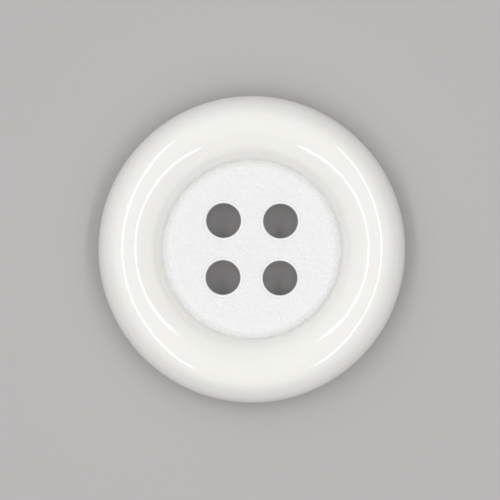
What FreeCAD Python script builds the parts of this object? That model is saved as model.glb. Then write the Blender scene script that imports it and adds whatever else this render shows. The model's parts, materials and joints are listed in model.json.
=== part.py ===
# Sew-on button with four thread holes, in two moulded pieces that snap together.
#
#   outer_rim      the polished ring: a full round crown that falls inwards to the centre
#   centre_insert  the matt centre plate with the thread holes, set below the crown
#
# The insert drops in from the front, onto a ledge inside the rim.  Its skirt goes on
# through the ledge, and a small bead round the skirt's end snaps under it.  The sewing
# thread pulls the plate backwards, so it pulls the insert onto its seat.
#
# Frame: millimetres, +Z out of the button's face, origin at the middle of the flat back.

import FreeCAD, Part
import math
import os

import Sketcher

# ---------------------------------------------------------------------------------------
# Driving dimensions.  Each is set once, here, and reaches the model through the sheet.
# ---------------------------------------------------------------------------------------

DIMENSIONS = (
    ("button_diameter", 25.4, "across the rim: 40 ligne, which is one inch"),
    ("button_height", 4.5, "flat back to crown"),
    ("centre_diameter", 14.84, "the bore in the rim that holds the insert"),
    ("crown_round", 2.5, "radius of the crown's outer side, and the crown's set-back"),
    ("edge_land", 0.4, "upright part of the outer edge, where the mould parts"),
    ("recess_depth", 1.05, "crown down to the face of the insert"),
    ("joint_gap", 0.02, "clearance all round between the insert and the rim"),
    ("seat_width", 0.45, "how far the ledge reaches in under the insert"),
    ("flange_thickness", 1.2, "the insert's flange, from its face to the ledge"),
    ("plate_thickness", 1.7, "the insert's middle, where the thread passes"),
    ("skirt_wall", 0.8, "wall of the skirt that goes through the ledge"),
    ("skirt_setback", 0.4, "from the flat back in to the skirt's end"),
    ("bead_height", 0.4, "snap bead, along the skirt"),
    ("bead_land", 0.15, "straight part of the bead, above its lead-in slope"),
    ("bead_catch", 0.15, "how far the bead reaches out under the ledge"),
    ("snap_play", 0.05, "clearance between the bead and the ledge"),
    ("pocket_room", 0.15, "clearance round the bead in the pocket of the rim's back"),
    ("hole_diameter", 2.85, "thread hole"),
    ("hole_spacing", 4.7, "thread hole to thread hole, along a side of the square"),
    ("hole_round", 0.18, "rounded mouth of a thread hole, front and back"),
    ("hole_margin", 0.2, "least flat between the mouth of a thread hole and the skirt"),
    ("edge_run", 0.58, "the insert's rolled edge: how far in from the joint it starts"),
    ("edge_drop", 0.45, "the rolled edge: how far it falls from the face to the joint"),
    ("edge_round", 1.35, "the rolled edge: radius of its arc"),
    ("skirt_root_round", 0.25, "rounded corner between the plate and the skirt"),
    ("pocket_chamfer", 0.15, "broken edge of the pocket in the rim's back"),
    ("ledge_chamfer", 0.1, "broken edge of the ledge, which leads the skirt through"),
)
HOLE_COUNT = 4
FULL_TURN = 360

# Sizes that follow from the driving ones, as expressions on the sheet.
OUTER_RADIUS = "(dims.button_diameter / 2)"
BORE_RADIUS = "(dims.centre_diameter / 2)"
INSERT_RADIUS = f"({BORE_RADIUS} - dims.joint_gap)"
LEDGE_RADIUS = f"({BORE_RADIUS} - dims.seat_width)"
SKIRT_RADIUS = f"({LEDGE_RADIUS} - dims.joint_gap)"
BEAD_RADIUS = f"({LEDGE_RADIUS} + dims.bead_catch)"
POCKET_RADIUS = f"({BEAD_RADIUS} + dims.pocket_room)"

FACE_HEIGHT = "(dims.button_height - dims.recess_depth)"
JOINT_HEIGHT = f"({FACE_HEIGHT} - dims.edge_drop)"
SEAT_HEIGHT = f"({FACE_HEIGHT} - dims.flange_thickness)"
PLATE_BACK = f"({FACE_HEIGHT} - dims.plate_thickness)"
BEAD_TOP = "(dims.skirt_setback + dims.bead_height)"
BEAD_SHOULDER = f"({BEAD_TOP} - dims.bead_land)"
POCKET_HEIGHT = f"({BEAD_TOP} + dims.snap_play)"

# The skirt's wall gives way to the thread holes where the two would meet.
HOLE_OFFSET = "(dims.hole_spacing / 2)"
HOLE_REACH = f"({HOLE_OFFSET} * sqrt(2) + dims.hole_diameter / 2 + dims.hole_round)"
SKIRT_ROOM = f"({SKIRT_RADIUS} - {HOLE_REACH} - dims.hole_margin)"
SKIRT_INSIDE = f"({SKIRT_RADIUS} - min(dims.skirt_wall; {SKIRT_ROOM}))"

# Its root is rounded as far as half of the two flats that meet there.
ROOT_ACROSS = f"({SKIRT_INSIDE} - {HOLE_REACH})"
ROOT_UP = f"({PLATE_BACK} - dims.skirt_setback)"
ROOT_ROUND = f"min(dims.skirt_root_round; {ROOT_ACROSS} / 2; {ROOT_UP} / 2)"

# The crown's outer side is a quarter round, as far in as leaves room for the inner side to
# fall.  The inner side is the arc that leaves the crown level and meets the bore at the
# joint, so its radius follows from how far in and how far down it goes.  The back is
# rounded by what is left of the height.
RIM_WIDTH = f"({OUTER_RADIUS} - {BORE_RADIUS})"
INNER_DROP = f"(dims.button_height - {JOINT_HEIGHT})"
CROWN_ROUND = f"min(dims.crown_round; {RIM_WIDTH} - {INNER_DROP})"
CROWN_RADIUS = f"({OUTER_RADIUS} - {CROWN_ROUND})"
INNER_RUN = f"({CROWN_RADIUS} - {BORE_RADIUS})"
INNER_ROUND = f"(({INNER_RUN} ^ 2 + {INNER_DROP} ^ 2) / (2 * {INNER_DROP}))"
EDGE_TOP = f"(dims.button_height - {CROWN_ROUND})"
BACK_ROUND = f"({EDGE_TOP} - dims.edge_land)"

doc = FreeCAD.newDocument("sew_on_button")


def make_sheet():
    """The spreadsheet: a row for each driving dimension, with its alias and its note."""
    sheet = doc.addObject("Spreadsheet::Sheet", "dims")
    for row, (alias, value, note) in enumerate(DIMENSIONS, start=1):
        sheet.set(f"A{row}", str(value))
        sheet.setAlias(f"A{row}", alias)
        sheet.set(f"B{row}", note)
    doc.recompute()
    return sheet


dims = make_sheet()


def size(expression):
    """The value of an expression on the sheet, in millimetres."""
    return float(dims.evalExpression(expression))


# ---------------------------------------------------------------------------------------
# Sketches.  A turned piece is a closed outline in the XZ plane, revolved about Z.
# ---------------------------------------------------------------------------------------

START, END, CENTRE = 1, 2, 3
H_AXIS, V_AXIS = -1, -2


def new_sketch(body, name, role):
    """An empty sketch on one of the body's own origin planes."""
    sketch = body.newObject("Sketcher::SketchObject", name)
    plane = next(f for f in body.Origin.OriginFeatures if f.Role == role)
    sketch.AttachmentSupport = [(plane, "")]
    sketch.MapMode = "FlatFace"
    return sketch


def bind(sketch, name, expression, kind, *where):
    """Adds a dimension to the sketch, and ties it to the sheet by name."""
    index = sketch.addConstraint(Sketcher.Constraint(kind, *where, size(expression)))
    sketch.renameConstraint(index, name)
    sketch.setExpression(f"Constraints.{name}", expression)


def place(sketch, geometry, position, name, across, up):
    """Fixes one point of the sketch, where "0" means on the axis itself."""
    for kind, letter, axis, expression in (
        ("DistanceX", "across", V_AXIS, across),
        ("DistanceY", "up", H_AXIS, up),
    ):
        if expression == "0":
            rule = Sketcher.Constraint("PointOnObject", geometry, position, axis)
            sketch.addConstraint(rule)
        else:
            bind(sketch, f"{name}_{letter}", expression, kind, geometry, position)


def bulging_arc(here, there, radius):
    """The arc of that radius from here to there that bulges to the right of the way."""
    chord = there - here
    right = FreeCAD.Vector(chord.y, -chord.x, 0).normalize()
    rise = radius - math.sqrt(max(radius**2 - (chord.Length / 2) ** 2, 0))
    return Part.Arc(here, (here + there) * 0.5 + right * rise, there)


def turned_outline(body, corners):
    """The outline of a turned piece, anticlockwise.

    Each corner is (name, radius, height, arc): arc is the radius of the arc that goes on
    from the corner, or None where a straight line does.
    """
    sketch = new_sketch(body, f"{body.Name}_outline", "XZ_Plane")
    points = [FreeCAD.Vector(size(r), size(z), 0) for _, r, z, _ in corners]
    for here, there, (_, _, _, arc) in zip(points, points[1:] + points[:1], corners):
        edge = bulging_arc(here, there, size(arc)) if arc else Part.LineSegment(here, there)
        sketch.addGeometry(edge, False)
    for i, (name, radius, height, arc) in enumerate(corners):
        starts = sketch_end(sketch, i, points[i])
        before = (i - 1) % len(corners)
        meets = sketch_end(sketch, before, points[i])
        joint = Sketcher.Constraint("Coincident", before, meets, i, starts)
        sketch.addConstraint(joint)
        place(sketch, i, starts, name, radius, height)
        if arc:
            bind(sketch, f"{name}_arc", arc, "Radius", i)
    return sketch


def sketch_end(sketch, geometry, point):
    """Which end of a sketched edge lies at the point: an arc may be stored end first."""
    return min((START, END), key=lambda e: sketch.getPoint(geometry, e).distanceToPoint(point))


def turn(body, corners):
    """Revolves an outline a full turn about Z."""
    sketch = turned_outline(body, corners)
    doc.recompute()
    feature = body.newObject("PartDesign::Revolution", f"{body.Name}_turned")
    feature.Profile = sketch
    feature.ReferenceAxis = (sketch, ["V_Axis"])
    feature.Angle = FULL_TURN
    sketch.Visibility = False
    doc.recompute()
    return feature


# ---------------------------------------------------------------------------------------
# Edges.  Fillets and chamfers find the circles that they work on by radius and height.
# ---------------------------------------------------------------------------------------

CLOSE = 1e-4


def circles(shape, radius, height, axis=(0.0, 0.0)):
    """Names of the circular edges of that radius, at that height, about that upright axis."""
    names = []
    for number, edge in enumerate(shape.Edges, start=1):
        if not isinstance(edge.Curve, Part.Circle):
            continue
        centre = edge.Curve.Center
        off_axis = math.hypot(centre.x - axis[0], centre.y - axis[1])
        if abs(edge.Curve.Radius - radius) + abs(centre.z - height) + off_axis < CLOSE:
            names.append(f"Edge{number}")
    return names


def soften(body, base, kind, name, expression, edges):
    """A PartDesign fillet or chamfer of those edges, sized by the sheet."""
    if not edges:
        raise ValueError(f"{name}: no edge found")
    feature = body.newObject(f"PartDesign::{kind}", name)
    feature.Base = (base, edges)
    feature.setExpression("Radius" if kind == "Fillet" else "Size", expression)
    doc.recompute()
    return feature


# ---------------------------------------------------------------------------------------
# outer_rim: the polished ring, moulded in one piece, with the insert's bore, the ledge
# that it seats on, and the pocket in the back where the snap bead opens out.
# ---------------------------------------------------------------------------------------


def make_outer_rim():
    body = doc.addObject("PartDesign::Body", "outer_rim")
    turned = turn(
        body,
        (
            ("back_inner", POCKET_RADIUS, "0", None),
            ("back_outer", f"({OUTER_RADIUS} - {BACK_ROUND})", "0", BACK_ROUND),
            ("edge_low", OUTER_RADIUS, BACK_ROUND, None),
            ("edge_high", OUTER_RADIUS, EDGE_TOP, CROWN_ROUND),
            ("crown", CROWN_RADIUS, "dims.button_height", INNER_ROUND),
            ("bore_top", BORE_RADIUS, JOINT_HEIGHT, None),
            ("seat_outer", BORE_RADIUS, SEAT_HEIGHT, None),
            ("seat_inner", LEDGE_RADIUS, SEAT_HEIGHT, None),
            ("ledge_low", LEDGE_RADIUS, POCKET_HEIGHT, None),
            ("pocket_top", POCKET_RADIUS, POCKET_HEIGHT, None),
        ),
    )
    pocket_mouth = circles(turned.Shape, size(POCKET_RADIUS), 0)
    broken = soften(body, turned, "Chamfer", "pocket_edge", "dims.pocket_chamfer", pocket_mouth)
    ledge_lip = circles(broken.Shape, size(LEDGE_RADIUS), size(SEAT_HEIGHT))
    soften(body, broken, "Chamfer", "ledge_edge", "dims.ledge_chamfer", ledge_lip)
    return body


# ---------------------------------------------------------------------------------------
# centre_insert: the matt plate, with its flange, its skirt and snap bead, and the four
# thread holes in a square.
# ---------------------------------------------------------------------------------------


def make_centre_insert():
    body = doc.addObject("PartDesign::Body", "centre_insert")
    turned = turn(
        body,
        (
            ("plate_middle", "0", PLATE_BACK, None),
            ("skirt_root", SKIRT_INSIDE, PLATE_BACK, None),
            ("skirt_inner", SKIRT_INSIDE, "dims.skirt_setback", None),
            ("skirt_outer", SKIRT_RADIUS, "dims.skirt_setback", None),
            ("bead_low", BEAD_RADIUS, BEAD_SHOULDER, None),
            ("bead_high", BEAD_RADIUS, BEAD_TOP, None),
            ("bead_root", SKIRT_RADIUS, BEAD_TOP, None),
            ("seat_root", SKIRT_RADIUS, SEAT_HEIGHT, None),
            ("seat_edge", INSERT_RADIUS, SEAT_HEIGHT, None),
            ("joint_edge", INSERT_RADIUS, JOINT_HEIGHT, "dims.edge_round"),
            ("face_edge", f"({INSERT_RADIUS} - dims.edge_run)", FACE_HEIGHT, None),
            ("face_middle", "0", FACE_HEIGHT, None),
        ),
    )
    root_edge = circles(turned.Shape, size(SKIRT_INSIDE), size(PLATE_BACK))
    rooted = soften(body, turned, "Fillet", "skirt_root", ROOT_ROUND, root_edge)
    cut_thread_holes(body, rooted)
    return body


def cut_thread_holes(body, base):
    """Four holes through the plate, each with a rounded mouth at both faces."""
    sketch = new_sketch(body, "thread_hole_sketch", "XY_Plane")
    offset = size(HOLE_OFFSET)
    middle = FreeCAD.Vector(offset, offset, 0)
    up = FreeCAD.Vector(0, 0, 1)
    sketch.addGeometry(Part.Circle(middle, up, size("dims.hole_diameter") / 2), False)
    place(sketch, 0, CENTRE, "hole", HOLE_OFFSET, HOLE_OFFSET)
    bind(sketch, "hole_diameter", "dims.hole_diameter", "Diameter", 0)
    doc.recompute()

    hole = body.newObject("PartDesign::Pocket", "thread_hole")
    hole.Profile = sketch
    hole.Type = "ThroughAll"
    hole.Reversed = True
    hole.Midplane = False
    sketch.Visibility = False
    doc.recompute()

    square = body.newObject("PartDesign::PolarPattern", "thread_holes")
    square.Originals = [hole]
    square.Axis = (sketch, ["N_Axis"])
    square.Angle = FULL_TURN
    square.Occurrences = HOLE_COUNT
    body.Tip = square
    doc.recompute()
    check_holes_cut(base.Shape, square.Shape)

    mouths = []
    for x in (-offset, offset):
        for y in (-offset, offset):
            for height in (size(FACE_HEIGHT), size(PLATE_BACK)):
                radius = size("dims.hole_diameter") / 2
                mouths += circles(square.Shape, radius, height, (x, y))
    soften(body, square, "Fillet", "hole_mouths", "dims.hole_round", mouths)


def check_holes_cut(before, after):
    """A pocket that points away from the solid cuts nothing, so the volumes are compared."""
    area = math.pi * size("dims.hole_diameter") ** 2 / 4
    least = HOLE_COUNT * area * size("dims.plate_thickness")
    if before.Volume - after.Volume < least * 0.99:
        raise ValueError("the thread holes don't go through the plate")


# ---------------------------------------------------------------------------------------
# Build, check, and write one STEP file for each piece.
# ---------------------------------------------------------------------------------------


def check_document():
    """Stops the build if any object of the document failed."""
    for item in doc.Objects:
        faults = [state for state in item.State if state in ("Invalid", "Error")]
        if faults:
            raise ValueError(f"{item.Name} failed: {faults}")


def write_piece(body):
    """Writes a finished piece as parts/LABEL.step, once its shape has passed."""
    shape = body.Shape
    if shape.isNull() or not shape.isValid() or len(shape.Solids) != 1:
        raise ValueError(f"{body.Label} isn't one valid solid")
    shape.exportStep(os.path.join("parts", f"{body.Label}.step"))
    print(f"{body.Label}: {shape.Volume:.2f} mm3, {len(shape.Faces)} faces")


pieces = [make_outer_rim(), make_centre_insert()]
doc.recompute()
check_document()
os.makedirs("parts", exist_ok=True)
for piece in pieces:
    write_piece(piece)
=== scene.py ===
import json
import math

import bpy
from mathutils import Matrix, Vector


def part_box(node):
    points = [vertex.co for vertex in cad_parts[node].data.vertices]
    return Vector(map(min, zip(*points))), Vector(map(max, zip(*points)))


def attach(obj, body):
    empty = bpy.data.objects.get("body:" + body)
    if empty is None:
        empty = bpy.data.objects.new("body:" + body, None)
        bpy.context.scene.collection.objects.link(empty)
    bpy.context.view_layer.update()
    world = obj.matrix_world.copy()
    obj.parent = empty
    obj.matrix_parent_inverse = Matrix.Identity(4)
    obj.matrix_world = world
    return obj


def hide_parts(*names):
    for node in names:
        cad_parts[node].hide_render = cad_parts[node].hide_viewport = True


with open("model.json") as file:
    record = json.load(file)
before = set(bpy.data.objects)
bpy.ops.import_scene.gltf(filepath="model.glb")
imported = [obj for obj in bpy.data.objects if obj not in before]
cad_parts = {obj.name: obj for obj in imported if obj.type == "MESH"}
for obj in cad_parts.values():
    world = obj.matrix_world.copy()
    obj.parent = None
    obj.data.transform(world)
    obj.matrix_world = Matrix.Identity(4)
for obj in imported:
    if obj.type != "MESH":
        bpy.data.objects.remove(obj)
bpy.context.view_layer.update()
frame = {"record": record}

mm = 0.001

# ---------------------------------------------------------------------------------------
# Polished rim.  A solid ring of warm white button resin, turned and tumbled to a high
# gloss: a full round crown that rolls over to the flat back on the outside, and on the
# inside falls more and more steeply to the joint with the centre.
# ---------------------------------------------------------------------------------------

rim_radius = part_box("outer_rim")[1].x
crown_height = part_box("outer_rim")[1].z
insert_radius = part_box("centre_insert")[1].x
face_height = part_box("centre_insert")[1].z

joint_gap = 0.001 * mm
joint_land = 0.02 * mm
seat_width = 0.45 * mm
flange_thickness = 1.2 * mm
edge_drop = 0.45 * mm
ledge_bottom = 0.85 * mm
pocket_room = 0.3 * mm
crown_setback = 2.5 * mm
edge_land = 0.4 * mm
crown_inner_round = 2.85 * mm
crown_inner_slope = math.radians(20.5)
dish_round = 8.0 * mm
dish_slope = math.radians(27)
pocket_round = 0.14 * mm
flash_height = 0.012 * mm
flash_width = 0.1 * mm
turning_steps = 288
crease_angle = math.radians(40)
weld_distance = 0.001 * mm
place_tolerance = 0.002 * mm

bore_radius = insert_radius + joint_gap
ledge_radius = bore_radius - seat_width
joint_height = face_height - edge_drop
seat_height = face_height - flange_thickness
pocket_radius = ledge_radius + pocket_room
crown_radius = rim_radius - crown_setback
edge_top = crown_height - crown_setback
back_round = edge_top - edge_land


def fall_inwards(start, slope, radius, end_slope):
    """One arc of the rim's inner side, going down from its start: its centre and its end."""
    centre = (start[0] + radius * math.sin(slope), start[1] - radius * math.cos(slope))
    end = (centre[0] - radius * math.sin(end_slope), centre[1] + radius * math.cos(end_slope))
    return centre, end


crown_centre, dish_start = fall_inwards(
    (crown_radius, crown_height), 0, crown_inner_round, crown_inner_slope
)
dish_centre, wall_start = fall_inwards(dish_start, crown_inner_slope, dish_round, dish_slope)

# The last arc starts tangent to the one before it, and ends at the land beside the joint.
wall_run = wall_start[0] - (bore_radius + joint_land)
wall_drop = wall_start[1] - joint_height
wall_slope = 2 * math.atan(wall_drop / wall_run) - dish_slope
wall_round = wall_run / (math.sin(wall_slope) - math.sin(dish_slope))
wall_centre = fall_inwards(wall_start, dish_slope, wall_round, wall_slope)[0]


def start_outline(name, across, up):
    """A new mesh of one vertex in the XZ plane: the first point of a turned outline."""
    bpy.ops.object.select_all(action="DESELECT")
    bpy.ops.mesh.primitive_plane_add(size=mm, location=(0, 0, 0))
    piece = bpy.context.object
    piece.name = piece.data.name = name
    bpy.ops.object.mode_set(mode="EDIT")
    bpy.ops.mesh.merge(type="CENTER")
    bpy.ops.transform.translate(value=(across, 0, up))
    return piece


def line_by(across, up):
    """Draws the outline on by a straight line."""
    bpy.ops.mesh.extrude_region_move(TRANSFORM_OT_translate={"value": (across, 0, up)})


def arc_about(centre, angle, steps):
    """Draws the outline on by an arc about a centre, clockwise as seen from the front."""
    bpy.ops.mesh.spin(steps=steps, angle=angle, center=(centre[0], 0, centre[1]), axis=(0, -1, 0))


def turn_outline(steps):
    """Turns the closed outline once round the button's axis, and welds it into a solid."""
    bpy.ops.mesh.select_all(action="SELECT")
    bpy.ops.mesh.remove_doubles(threshold=weld_distance)
    bpy.ops.mesh.spin(steps=steps, angle=2 * math.pi, center=(0, 0, 0), axis=(0, 0, 1))
    bpy.ops.mesh.select_all(action="SELECT")
    bpy.ops.mesh.remove_doubles(threshold=weld_distance)
    bpy.ops.mesh.normals_make_consistent(inside=False)


def pick_edges(piece, radius, height, centre=(0, 0)):
    """Selects the edges of the ring of that radius and height about an upright axis."""

    def on_ring(vertex):
        reach = math.hypot(vertex.co.x - centre[0], vertex.co.y - centre[1])
        return max(abs(reach - radius), abs(vertex.co.z - height)) < place_tolerance

    bpy.ops.mesh.select_mode(type="EDGE")
    bpy.ops.mesh.select_all(action="DESELECT")
    bpy.ops.object.mode_set(mode="OBJECT")
    ring = {vertex.index for vertex in piece.data.vertices if on_ring(vertex)}
    for edge in piece.data.edges:
        edge.select = ring.issuperset(edge.vertices)
    bpy.ops.object.mode_set(mode="EDIT")


def round_ring(piece, radius, height, size, segments):
    """Rounds a ring-shaped edge over."""
    pick_edges(piece, radius, height)
    bpy.ops.mesh.bevel(offset=size, segments=segments, affect="EDGES")


def finish_surface(piece, material):
    """Smooth shading that stays flat on the flats and crisp at sharp edges, and a finish."""
    bpy.ops.object.mode_set(mode="OBJECT")
    bpy.ops.object.shade_smooth_by_angle(angle=crease_angle, keep_sharp_edges=False)
    bpy.ops.object.modifier_add(type="WEIGHTED_NORMAL")
    piece.modifiers[-1].keep_sharp = True
    bpy.ops.object.modifier_apply(modifier=piece.modifiers[-1].name)
    piece.data.materials.clear()
    piece.data.materials.append(material)


def new_group(name, inputs, outputs):
    """A shader node group with named sockets: (name, kind, default) for each input."""
    group = bpy.data.node_groups.new(name, "ShaderNodeTree")
    for label, kind, default in inputs:
        socket = group.interface.new_socket(name=label, in_out="INPUT", socket_type=f"NodeSocket{kind}")
        socket.default_value = default
    for label, kind in outputs:
        group.interface.new_socket(name=label, in_out="OUTPUT", socket_type=f"NodeSocket{kind}")
    return group, group.nodes.new("NodeGroupInput"), group.nodes.new("NodeGroupOutput")


def feed(tree, socket, value):
    """Links another node's output to an input, or sets the input to a plain value."""
    if isinstance(value, bpy.types.NodeSocket):
        tree.links.new(value, socket)
    else:
        socket.default_value = value


def add_node(tree, kind, inputs=None, **settings):
    """Adds a node, sets its properties, and feeds its inputs by name or by number."""
    node = tree.nodes.new(f"ShaderNode{kind}")
    for name, value in settings.items():
        setattr(node, name, value)
    for name, value in (inputs or {}).items():
        feed(tree, node.inputs[name], value)
    return node


def add_maths(tree, operation, *values):
    """A maths node on sockets or numbers: its result."""
    node = add_node(tree, "Math", operation=operation)
    for socket, value in zip(node.inputs, values):
        feed(tree, socket, value)
    return node.outputs[0]


def add_reach(tree, place, axis=(0, 0)):
    """How far a place lies from an upright axis."""
    aside = {0: place, 1: (1, 1, 0), 2: (-axis[0], -axis[1], 0)}
    flat = add_node(tree, "VectorMath", aside, operation="MULTIPLY_ADD")
    reach = add_node(tree, "VectorMath", {0: flat.outputs[0]}, operation="LENGTH")
    return reach.outputs["Value"]


def add_range(tree, value, low, high, to_low, to_high, **settings):
    """A map range node: the value brought from one range into another, clamped."""
    ends = {"From Min": low, "From Max": high, "To Min": to_low, "To Max": to_high}
    return add_node(tree, "MapRange", {"Value": value, **ends}, **settings).outputs[0]


def add_mix(tree, factor, first, second):
    """A colour mix node, whose inputs 6 and 7 and output 2 are its colours: its result."""
    node = add_node(tree, "Mix", data_type="RGBA")
    feed(tree, node.inputs["Factor"], factor)
    feed(tree, node.inputs[6], first)
    feed(tree, node.inputs[7], second)
    return node.outputs[2]


def make_resin_tint():
    """Cast resin's colour: a faint clouding, a fine mottle and a rare tiny inclusion."""
    group, given, out = new_group(
        "resin_tint",
        [
            ("Resin", "Color", (0.8, 0.8, 0.8, 1)),
            ("Clouding", "Float", 0.02),
            ("Mottle", "Float", 0.02),
            ("Mottle Scale", "Float", 4000.0),
            ("Inclusion", "Color", (0.6, 0.5, 0.3, 1)),
            ("Inclusion Size", "Float", 0.05),
        ],
        [("Colour", "Color")],
    )
    given = given.outputs
    plain_share = 0.88
    place = add_node(group, "TexCoord").outputs["Object"]
    cloud = add_node(group, "TexNoise", {"Vector": place, "Scale": 210.0, "Detail": 3.0})
    scale = given["Mottle Scale"]
    grain = add_node(group, "TexNoise", {"Vector": place, "Scale": scale, "Detail": 2.0})
    cloud_shift = add_maths(group, "SUBTRACT", cloud.outputs["Fac"], 0.5)
    grain_shift = add_maths(group, "SUBTRACT", grain.outputs["Fac"], 0.5)
    clouded = add_maths(group, "MULTIPLY_ADD", cloud_shift, given["Clouding"], 1.0)
    mottled = add_maths(group, "MULTIPLY_ADD", grain_shift, given["Mottle"], clouded)
    shaded = add_node(group, "HueSaturation", {"Value": mottled, "Color": given["Resin"]})
    cells = add_node(group, "TexVoronoi", {"Vector": place, "Scale": 900.0})
    chance = add_node(group, "SeparateColor", {"Color": cells.outputs["Color"]})
    rare = add_maths(group, "GREATER_THAN", chance.outputs["Red"], plain_share)
    distance, size = cells.outputs["Distance"], given["Inclusion Size"]
    near = add_range(group, distance, 0.0, size, 1.0, 0.0, interpolation_type="SMOOTHSTEP")
    speck = add_maths(group, "MULTIPLY", near, rare)
    tinted = add_mix(group, speck, shaded.outputs["Color"], given["Inclusion"])
    group.links.new(tinted, out.inputs["Colour"])
    return group


def make_painted_seam_shade():
    """Painted shade at the joint: the colour darkens towards the seam, where shade falls between the
    parts.
    """
    group, given, out = new_group(
        "painted_seam_shade",
        [
            ("Colour", "Color", (0.8, 0.8, 0.8, 1)),
            ("Shade Tone", "Color", (0.6, 0.59, 0.57, 1)),
            ("Seam Radius", "Float", 0.0074),
            ("Fade", "Float", 0.0005),
            ("Strength", "Float", 0.25),
        ],
        [("Colour", "Color")],
    )
    given = given.outputs
    place = add_node(group, "TexCoord").outputs["Object"]
    offset = add_maths(group, "SUBTRACT", add_reach(group, place), given["Seam Radius"])
    distance = add_maths(group, "ABSOLUTE", offset)
    strength, fade = given["Strength"], given["Fade"]
    shade_amount = add_range(group, distance, 0.0, fade, strength, 0.0, interpolation_type="SMOOTHSTEP")
    seam_shaded = add_mix(group, shade_amount, given["Colour"], given["Shade Tone"])
    group.links.new(seam_shaded, out.inputs["Colour"])
    return group


resin_tint = make_resin_tint()
painted_seam_shade = make_painted_seam_shade()


def add_group(tree, group, inputs):
    """Places a node group in a material with its own values: its result."""
    return add_node(tree, "Group", inputs, node_tree=group).outputs[0]


def make_gloss_resin():
    """Polished resin: glossy, very slightly wavy, with the faintest of turning lines."""
    smoothest = 0.045
    roughest = 0.075
    line_depth = 0.0006 * mm
    wave_depth = 0.005 * mm
    material = bpy.data.materials.new("gloss_resin")
    material.use_nodes = True
    tree = material.node_tree
    shader = tree.nodes["Principled BSDF"]
    tint = add_group(
        tree,
        resin_tint,
        {
            "Resin": (0.875, 0.868, 0.835, 1),
            "Clouding": 0.02,
            "Mottle": 0.012,
            "Mottle Scale": 4500.0,
            "Inclusion": (0.5, 0.42, 0.34, 1),
            "Inclusion Size": 0.05,
        },
    )
    # Painted shade: the rim's colour darkens towards its joint with the centre, where shade falls.
    seam_shaded = add_group(
        tree,
        painted_seam_shade,
        {"Colour": tint, "Seam Radius": bore_radius, "Fade": 0.35 * mm, "Strength": 0.3},
    )
    tree.links.new(seam_shaded, shader.inputs["Base Color"])
    place = add_node(tree, "TexCoord").outputs["Object"]
    polish = add_node(tree, "TexNoise", {"Vector": place, "Scale": 1500.0, "Detail": 4.0})
    rough = add_range(tree, polish.outputs["Fac"], 0.3, 0.7, smoothest, roughest)
    tree.links.new(rough, shader.inputs["Roughness"])
    turning = add_node(
        tree,
        "TexWave",
        {"Vector": place, "Scale": 600.0, "Distortion": 3.0, "Detail": 2.0, "Detail Scale": 0.3},
        wave_type="RINGS",
        rings_direction="Z",
    )
    lined = add_node(tree, "Bump", {"Height": turning.outputs["Fac"], "Distance": line_depth})
    wave = add_node(tree, "TexNoise", {"Vector": place, "Scale": 420.0, "Detail": 2.0})
    bump = add_node(
        tree,
        "Bump",
        {"Height": wave.outputs["Fac"], "Distance": wave_depth, "Normal": lined.outputs["Normal"]},
    )
    tree.links.new(bump.outputs["Normal"], shader.inputs["Normal"])
    shader.inputs["IOR"].default_value = 1.52
    shader.inputs["Subsurface Weight"].default_value = 0.3
    shader.inputs["Subsurface Radius"].default_value = (1.0, 0.95, 0.9)
    shader.inputs["Subsurface Scale"].default_value = 0.3 * mm
    return material


rim = start_outline("polished_rim", bore_radius, seat_height)
line_by(0, joint_height - seat_height)
line_by(joint_land, 0)
arc_about(wall_centre, wall_slope - dish_slope, steps=16)
arc_about(dish_centre, dish_slope - crown_inner_slope, steps=14)
arc_about(crown_centre, crown_inner_slope, steps=8)
arc_about((crown_radius, edge_top), math.pi / 2, steps=36)
line_by(0, -(edge_land - flash_width) / 2)
line_by(flash_height, -flash_width / 2)
line_by(-flash_height, -flash_width / 2)
line_by(0, -(edge_land - flash_width) / 2)
arc_about((rim_radius - back_round, back_round), math.pi / 2, steps=20)
line_by(pocket_radius - (rim_radius - back_round), 0)
line_by(0, ledge_bottom)
line_by(ledge_radius - pocket_radius, 0)
line_by(0, seat_height - ledge_bottom)
line_by(bore_radius - ledge_radius, 0)
turn_outline(turning_steps)
round_ring(rim, pocket_radius, height=0, size=pocket_round, segments=4)
finish_surface(rim, make_gloss_resin())
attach(rim, "root")
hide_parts("outer_rim")

# ---------------------------------------------------------------------------------------
# Matt centre.  A separate plate of cooler white resin, moulded with a fine frosted grain
# and an edge that rolls down to the joint.  It carries the four thread holes, sits on the
# rim's ledge, and is held from behind by the bead round its skirt.
# ---------------------------------------------------------------------------------------

skirt_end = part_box("centre_insert")[0].z
skirt_radius = ledge_radius - joint_gap
skirt_wall = 0.8 * mm
bead_catch = 0.17 * mm
bead_land = 0.15 * mm
bead_top = 0.8 * mm
plate_thickness = 1.7 * mm
edge_run = 0.58 * mm
edge_steps = 8
skirt_root_round = 0.25 * mm
hole_round = 0.18 * mm
mouth_ring_fade = 0.3 * hole_round
hole_steps = 96
thread_holes = [mount for mount in frame["record"]["mounts"] if mount["kind"] == "bore"]
hole_radius = thread_holes[0]["dims"]["r_mm"] * mm
plate_back = face_height - plate_thickness

# The rolled edge is an arc that leaves the face at a slope and steepens to the joint.
edge_fall = math.atan(edge_drop / (edge_run - joint_land))
edge_bend = math.radians(11)
edge_round = math.hypot(edge_run - joint_land, edge_drop) / (2 * math.sin(edge_bend))


def pick_caps(piece, height, facing):
    """Selects the flat faces at that height that face up (1) or down (-1)."""
    bpy.ops.mesh.select_mode(type="FACE")
    bpy.ops.mesh.select_all(action="DESELECT")
    bpy.ops.object.mode_set(mode="OBJECT")
    for face in piece.data.polygons:
        faces_that_way = face.normal.z * facing > 0.9
        face.select = faces_that_way and abs(face.center.z - height) < place_tolerance
    bpy.ops.object.mode_set(mode="EDIT")


def extrude_by(up, scale=1.0):
    """Extrudes the selected cap along the axis, and scales its end about the axis."""
    bpy.ops.mesh.extrude_region_move(TRANSFORM_OT_translate={"value": (0, 0, up)})
    if scale != 1.0:
        bpy.ops.transform.resize(value=(scale, scale, 1), center_override=(0, 0, 0))


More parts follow.
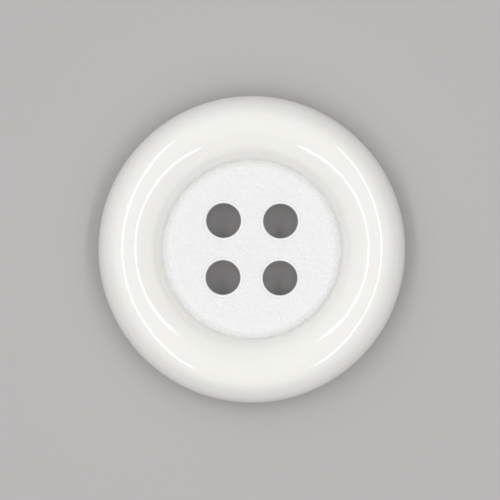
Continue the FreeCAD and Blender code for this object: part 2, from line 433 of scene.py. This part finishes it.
def roll_edge():
    """Carries the selected cap from the joint up to the face, round the rolled edge."""
    reach = insert_radius - joint_land
    extrude_by(0, reach / insert_radius)
    slope = edge_fall + edge_bend
    for _ in range(edge_steps):
        next_slope = slope - 2 * edge_bend / edge_steps
        rise = edge_round * (math.cos(next_slope) - math.cos(slope))
        next_reach = reach - edge_round * (math.sin(slope) - math.sin(next_slope))
        extrude_by(rise, next_reach / reach)
        reach = next_reach
        slope = next_slope


def cut_holes(piece):
    """Bores the thread holes through the plate, and leaves the piece active."""
    drills = []
    for mount in thread_holes:
        bpy.ops.mesh.primitive_cylinder_add(
            vertices=hole_steps, radius=hole_radius, depth=4 * crown_height, location=mount["pos_m"]
        )
        drills.append(bpy.context.object)
    bpy.ops.object.select_all(action="DESELECT")
    for drill in drills:
        drill.select_set(True)
    bpy.context.view_layer.objects.active = drills[0]
    bpy.ops.object.join()
    drill = bpy.context.object
    bpy.ops.object.select_all(action="DESELECT")
    bpy.context.view_layer.objects.active = piece
    piece.select_set(True)
    bpy.ops.object.modifier_add(type="BOOLEAN")
    cut = piece.modifiers[-1]
    cut.operation = "DIFFERENCE"
    cut.solver = "EXACT"
    cut.object = drill
    bpy.ops.object.modifier_apply(modifier=cut.name)
    bpy.data.objects.remove(drill)


def add_hole_mask(tree, place):
    """A mask of the rounded mouths of the thread holes, which the frosting doesn't reach, and where a
    painted highlight ring goes.
    """
    offset = abs(thread_holes[0]["pos_m"][0])
    folded = add_node(tree, "VectorMath", {0: place}, operation="ABSOLUTE")
    reach = add_reach(tree, folded.outputs[0], (offset, offset))
    mouth_radius = hole_radius + hole_round
    return add_range(tree, reach, mouth_radius, mouth_radius + mouth_ring_fade, 1.0, 0.0)


def make_frosted_resin():
    """Frosted resin: a fine raised grain with smoother and rougher spots, and painted glints: tiny
    bright flecks in the colour where facets would catch the light.
    """
    smoothest = 0.45
    roughest = 0.65
    frost_depth = 0.11 * mm
    glint_size = 0.7
    dull_share = 0.5
    material = bpy.data.materials.new("frosted_resin")
    material.use_nodes = True
    tree = material.node_tree
    shader = tree.nodes["Principled BSDF"]
    tint = add_group(
        tree,
        resin_tint,
        {
            "Resin": (0.891, 0.892, 0.894, 1),
            "Clouding": 0.015,
            "Mottle": 0.12,
            "Mottle Scale": 7000.0,
            "Inclusion": (0.62, 0.55, 0.36, 1),
            "Inclusion Size": 0.07,
        },
    )
    place = add_node(tree, "TexCoord").outputs["Object"]
    bare_mouths_and_highlight = add_hole_mask(tree, place)
    # Painted glints: bright flecks mixed into the colour, standing in for light caught by the
    # frosting's facets.
    glint_cells = add_node(tree, "TexVoronoi", {"Vector": place, "Scale": 9000.0})
    chance = add_node(tree, "SeparateColor", {"Color": glint_cells.outputs["Color"]})
    bright = add_range(tree, chance.outputs["Red"], dull_share, 1.0, 0.0, 1.0)
    near = add_range(tree, glint_cells.outputs["Distance"], 0.0, glint_size, 1.0, 0.0)
    painted_glint = add_maths(tree, "MULTIPLY", near, bright)
    # Painted shade: the centre's colour darkens towards its joint with the rim, where shade falls.
    seam_shaded = add_group(
        tree,
        painted_seam_shade,
        {"Colour": tint, "Seam Radius": insert_radius, "Fade": 0.95 * mm, "Strength": 0.22},
    )
    painted_glint_colour = add_mix(tree, painted_glint, seam_shaded, (0.98, 0.98, 0.975, 1))
    # Painted highlight: the hole mouths are painted near white, a bright ring for light caught on their
    # rounded edges; the frosting bump is also left off there.
    colour = add_mix(tree, bare_mouths_and_highlight, painted_glint_colour, (0.99, 0.99, 0.985, 1))
    tree.links.new(colour, shader.inputs["Base Color"])
    frost = add_node(tree, "TexNoise", {"Vector": place, "Scale": 7500.0, "Detail": 2.0})
    rough = add_range(tree, frost.outputs["Fac"], 0.35, 0.65, roughest, smoothest)
    tree.links.new(rough, shader.inputs["Roughness"])
    depth = add_range(tree, bare_mouths_and_highlight, 0.0, 1.0, 1.0, 0.0)
    height = add_maths(tree, "MULTIPLY", frost.outputs["Fac"], depth)
    bump = add_node(tree, "Bump", {"Height": height, "Distance": frost_depth})
    tree.links.new(bump.outputs["Normal"], shader.inputs["Normal"])
    shader.inputs["IOR"].default_value = 1.5
    shader.inputs["Subsurface Weight"].default_value = 0.4
    shader.inputs["Subsurface Radius"].default_value = (1.0, 0.95, 0.9)
    shader.inputs["Subsurface Scale"].default_value = 0.4 * mm
    return material


bpy.ops.object.select_all(action="DESELECT")
bpy.ops.mesh.primitive_cylinder_add(
    vertices=turning_steps,
    radius=insert_radius,
    depth=joint_height - seat_height,
    end_fill_type="NGON",
    location=(0, 0, (joint_height + seat_height) / 2),
)
insert = bpy.context.object
insert.name = insert.data.name = "matt_centre"
bpy.ops.object.transform_apply(location=True)
bpy.ops.object.mode_set(mode="EDIT")
pick_caps(insert, joint_height, facing=1)
roll_edge()
pick_caps(insert, seat_height, facing=-1)
bpy.ops.mesh.inset(thickness=insert_radius - skirt_radius)
extrude_by(bead_top - seat_height)
extrude_by(0, (skirt_radius + bead_catch) / skirt_radius)
extrude_by(-bead_land)
extrude_by(skirt_end - (bead_top - bead_land), skirt_radius / (skirt_radius + bead_catch))
bpy.ops.mesh.inset(thickness=skirt_wall)
extrude_by(plate_back - skirt_end)
round_ring(insert, skirt_radius - skirt_wall, plate_back, skirt_root_round, segments=4)
bpy.ops.object.mode_set(mode="OBJECT")
cut_holes(insert)
bpy.ops.object.mode_set(mode="EDIT")
for mount in thread_holes:
    for height in (face_height, plate_back):
        pick_edges(insert, hole_radius, height, mount["pos_m"][:2])
        bpy.ops.mesh.bevel(offset=hole_round, segments=6, affect="EDGES")
finish_surface(insert, make_frosted_resin())
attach(insert, "root")
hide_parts("centre_insert")

# ---------------------------------------------------------------------------------------
# Table, light and camera.  The button lies on its flat back on a plain pale table, under a
# soft studio dome with a soft card at the back left and a faint fill strip in front.  The
# long strip lamp on each side draws two bright arcs on the rim.
# ---------------------------------------------------------------------------------------

table_width = 4.0
table_clearance = 0.01 * mm
lamp_width = 120 * mm
lamp_radiance = 5.0

# Each strip lamp runs from its back end to its front end.
lamp_ends = {
    "left": (Vector((-440, 535, 900)) * mm, Vector((-290, -575, 900)) * mm),
    "right": (Vector((470, 515, 900)) * mm, Vector((300, -540, 900)) * mm),
}

fill_distance = 900 * mm
fill_lean = math.radians(45)
fill_length = 1100 * mm
fill_width = 150 * mm
fill_radiance = 0.4
dome_aim = (0.075, -0.07, 1.0)
dome_cosines = (0.2, 0.9)
zenith_glow = 0.912
horizon_glow = 0.02
soft_card_aim = (-0.7, 0.75, 0.15)
soft_card_cosines = (0.3, 1.0)
soft_card_glow = 0.47

bpy.ops.object.select_all(action="DESELECT")
bpy.ops.mesh.primitive_plane_add(size=table_width, location=(0, 0, -table_clearance))
table = bpy.context.object
table.name = "table"
table_card = bpy.data.materials.new("pale_card")
table_card.use_nodes = True
table_shader = table_card.node_tree.nodes["Principled BSDF"]
table_shader.inputs["Base Color"].default_value = (0.47, 0.46, 0.457, 1)
table_shader.inputs["Roughness"].default_value = 0.9
table.data.materials.append(table_card)


def add_strip(name, location, turn, width, length, radiance):
    """A flat strip lamp of even radiance, which shines straight down unless it is turned."""
    bpy.ops.object.light_add(type="AREA", location=location, rotation=turn)
    lamp = bpy.context.object
    lamp.name = name
    lamp.data.shape = "RECTANGLE"
    lamp.data.size = width
    lamp.data.size_y = length
    lamp.data.energy = radiance * math.pi * width * length


for side, (back_end, front_end) in lamp_ends.items():
    run = back_end - front_end
    turn = (0, 0, math.atan2(run.y, run.x) - math.pi / 2)
    middle = (back_end + front_end) / 2
    add_strip(f"strip_lamp_{side}", middle, turn, lamp_width, run.length, lamp_radiance)
add_strip(
    "front_fill",
    (0, -fill_distance * math.sin(fill_lean), fill_distance * math.cos(fill_lean)),
    (fill_lean, 0, 0),
    fill_length,
    fill_width,
    fill_radiance,
)

world = bpy.data.worlds.new("studio")
bpy.context.scene.world = world
world.use_nodes = True
sky = world.node_tree
direction = add_node(sky, "TexCoord").outputs["Generated"]


def glow_towards(aim, cosines, low, high):
    """A glow that rises smoothly from low to high, between two cosines to a direction."""
    ways = {0: direction, 1: Vector(aim).normalized()}
    cosine = add_node(sky, "VectorMath", ways, operation="DOT_PRODUCT").outputs["Value"]
    return add_range(sky, cosine, *cosines, low, high, interpolation_type="SMOOTHSTEP")


dome = glow_towards(dome_aim, dome_cosines, horizon_glow, zenith_glow)
soft_card = glow_towards(soft_card_aim, soft_card_cosines, 0.0, soft_card_glow)
glow = add_maths(sky, "ADD", dome, soft_card)
backdrop = sky.nodes["Background"]
backdrop.inputs["Color"].default_value = (1, 1, 1, 1)
sky.links.new(glow, backdrop.inputs["Strength"])

# The camera looks straight down, and sees view_width at the height of the rim's widest ring.
lens = 300.0
sensor = 36.0
view_width = 41.35 * mm
view_shift = (-0.147 * mm, -0.059 * mm)
camera_roll = math.radians(0.55)

camera_data = bpy.data.cameras.new("camera")
camera = bpy.data.objects.new("camera", camera_data)
bpy.context.scene.collection.objects.link(camera)
camera_data.lens = lens
camera_data.sensor_width = sensor
camera_data.clip_start = 10 * mm
camera_data.clip_end = 10.0
camera.location = (*view_shift, edge_top + view_width * lens / sensor)
camera.rotation_euler = (0, 0, camera_roll)
bpy.context.scene.camera = camera
bpy.context.scene.view_settings.view_transform = "Standard"
